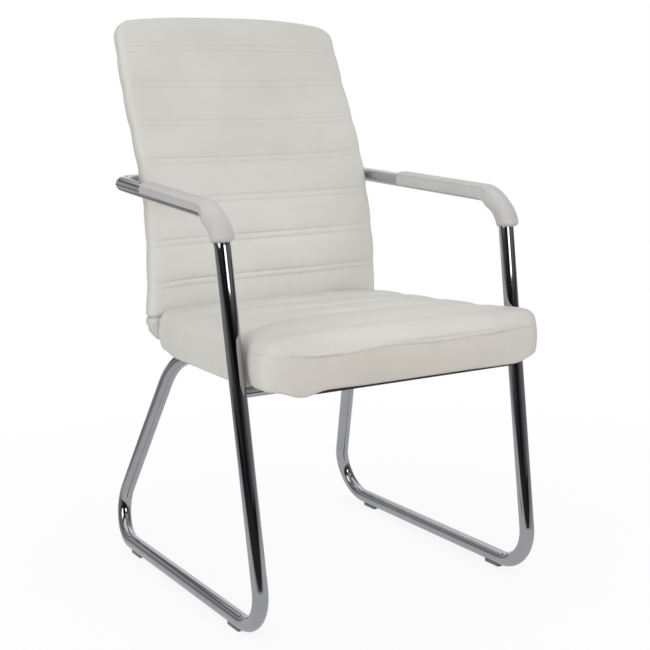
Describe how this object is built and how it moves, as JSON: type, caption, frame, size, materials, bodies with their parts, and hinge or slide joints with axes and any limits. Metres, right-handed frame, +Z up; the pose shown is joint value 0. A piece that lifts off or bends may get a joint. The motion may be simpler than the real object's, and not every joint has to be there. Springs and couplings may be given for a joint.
{
  "type": "sled base visitor chair",
  "caption": "Visitor chair with a bent round tube sled frame, channelled upholstered seat and high back, and padded arms.",
  "frame": {"origin": "on the floor, under the middle of the chair's bounding box", "axes": "+Z up, the seat's front faces -Y, +X towards the sitter's left"},
  "size_m": [0.5592, 0.6554, 0.9738],
  "materials": {
    "chromed_tube": "bright chromium plate on steel tube",
    "leatherette": "off-white synthetic leather, satin, fine grain",
    "plywood": "bare birch plywood",
    "zinc_steel": "zinc plated steel",
    "black_steel": "satin black powder coat on steel",
    "dark_plastic": "moulded dark grey polypropylene, satin",
    "dust_cover_felt": "black spunbond felt, matt"
  },
  "bodies": {
    "root": {"left_side_tube": "chromed_tube", "right_side_tube": "chromed_tube", "front_cross_tube": "chromed_tube", "rear_cross_tube": "black_steel", "back_loop_spigot": "zinc_steel", "front_left_foot": "dark_plastic", "front_right_foot": "dark_plastic", "rear_left_foot": "dark_plastic", "rear_right_foot": "dark_plastic", "left_arm_pad": "leatherette", "right_arm_pad": "leatherette", "seat_cushion": "leatherette", "seat_board": "plywood", "seat_dust_cover": "dust_cover_felt", "seat_front_left_bolt": "zinc_steel", "seat_front_left_tee_nut": "zinc_steel", "seat_rear_left_bolt": "zinc_steel", "seat_rear_left_tee_nut": "zinc_steel", "seat_front_right_bolt": "zinc_steel", "seat_front_right_tee_nut": "zinc_steel", "seat_rear_right_bolt": "zinc_steel", "seat_rear_right_tee_nut": "zinc_steel", "left_back_bracket": "black_steel", "right_back_bracket": "black_steel", "bracket_left_front_bolt": "zinc_steel", "bracket_left_front_tee_nut": "zinc_steel", "bracket_left_rear_bolt": "zinc_steel", "bracket_left_rear_tee_nut": "zinc_steel", "bracket_right_front_bolt": "zinc_steel", "bracket_right_front_tee_nut": "zinc_steel", "bracket_right_rear_bolt": "zinc_steel", "bracket_right_rear_tee_nut": "zinc_steel", "back_left_upper_bolt": "zinc_steel", "back_left_upper_tee_nut": "zinc_steel", "back_left_lower_bolt": "zinc_steel", "back_left_lower_tee_nut": "zinc_steel", "back_right_upper_bolt": "zinc_steel", "back_right_upper_tee_nut": "zinc_steel", "back_right_lower_bolt": "zinc_steel", "back_right_lower_tee_nut": "zinc_steel", "back_cushion": "leatherette", "back_board": "plywood", "back_rear_cover": "leatherette", "left_loop_spacer": "dark_plastic", "left_loop_cap": "dark_plastic", "left_loop_bolt": "zinc_steel", "left_loop_tee_nut": "zinc_steel", "right_loop_spacer": "dark_plastic", "right_loop_cap": "dark_plastic", "right_loop_bolt": "zinc_steel", "right_loop_tee_nut": "zinc_steel"}
  },
  "joints": []
}
